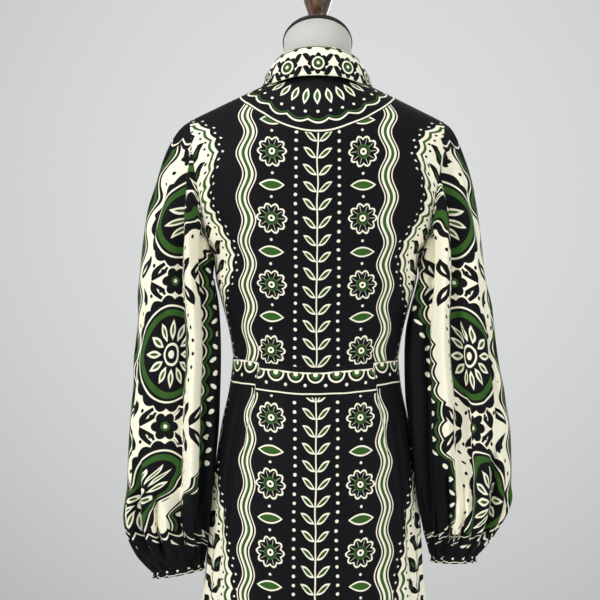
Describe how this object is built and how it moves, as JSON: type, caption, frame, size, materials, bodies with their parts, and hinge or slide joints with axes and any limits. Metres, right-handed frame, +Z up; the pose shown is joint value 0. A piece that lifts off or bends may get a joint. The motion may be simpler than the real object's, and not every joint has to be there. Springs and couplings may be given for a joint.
{
  "type": "long sleeve maxi dress on a limbless dress form",
  "caption": "Full length shirt dress with collar, full gathered sleeves and a buttoned front, worn on a limbless dress form with a pole and round base.",
  "frame": {"origin": "centre of the stand base's flat underside, on the floor", "axes": "+Z up along the pole, +Y towards the dress's buttoned front, -Y towards its back, +X towards the wearer's right"},
  "size_m": [0.5752, 0.3922, 1.6435],
  "materials": {
    "printed_cotton": "smooth woven cotton or viscose, printed with cream and green on near black",
    "cream_printed_cotton": "the same cloth, printed with near black and green on cream",
    "dark_button": "polished horn look",
    "form_cover": "fine pale jersey pulled smooth",
    "dark_metal": "dark satin",
    "turned_wood": "dark brown gloss varnish"
  },
  "bodies": {
    "root": {"bodice_back": "printed_cotton", "bodice_front_left": "printed_cotton", "bodice_front_right": "printed_cotton", "skirt_back": "printed_cotton", "skirt_front_left": "printed_cotton", "skirt_front_right": "printed_cotton", "sleeve_left": "cream_printed_cotton", "sleeve_right": "cream_printed_cotton", "cuff_left": "printed_cotton", "cuff_right": "printed_cotton", "collar_stand": "cream_printed_cotton", "collar_leaf": "cream_printed_cotton", "front_placket": "printed_cotton", "button_01": "dark_button", "button_02": "dark_button", "button_03": "dark_button", "button_04": "dark_button", "button_05": "dark_button", "button_06": "dark_button", "button_07": "dark_button", "button_08": "dark_button", "button_09": "dark_button", "button_10": "dark_button", "button_11": "dark_button", "button_12": "dark_button", "form_torso": "form_cover", "neck_cap": "dark_metal", "finial": "turned_wood", "pole": "dark_metal", "stand_base": "dark_metal"}
  },
  "joints": []
}
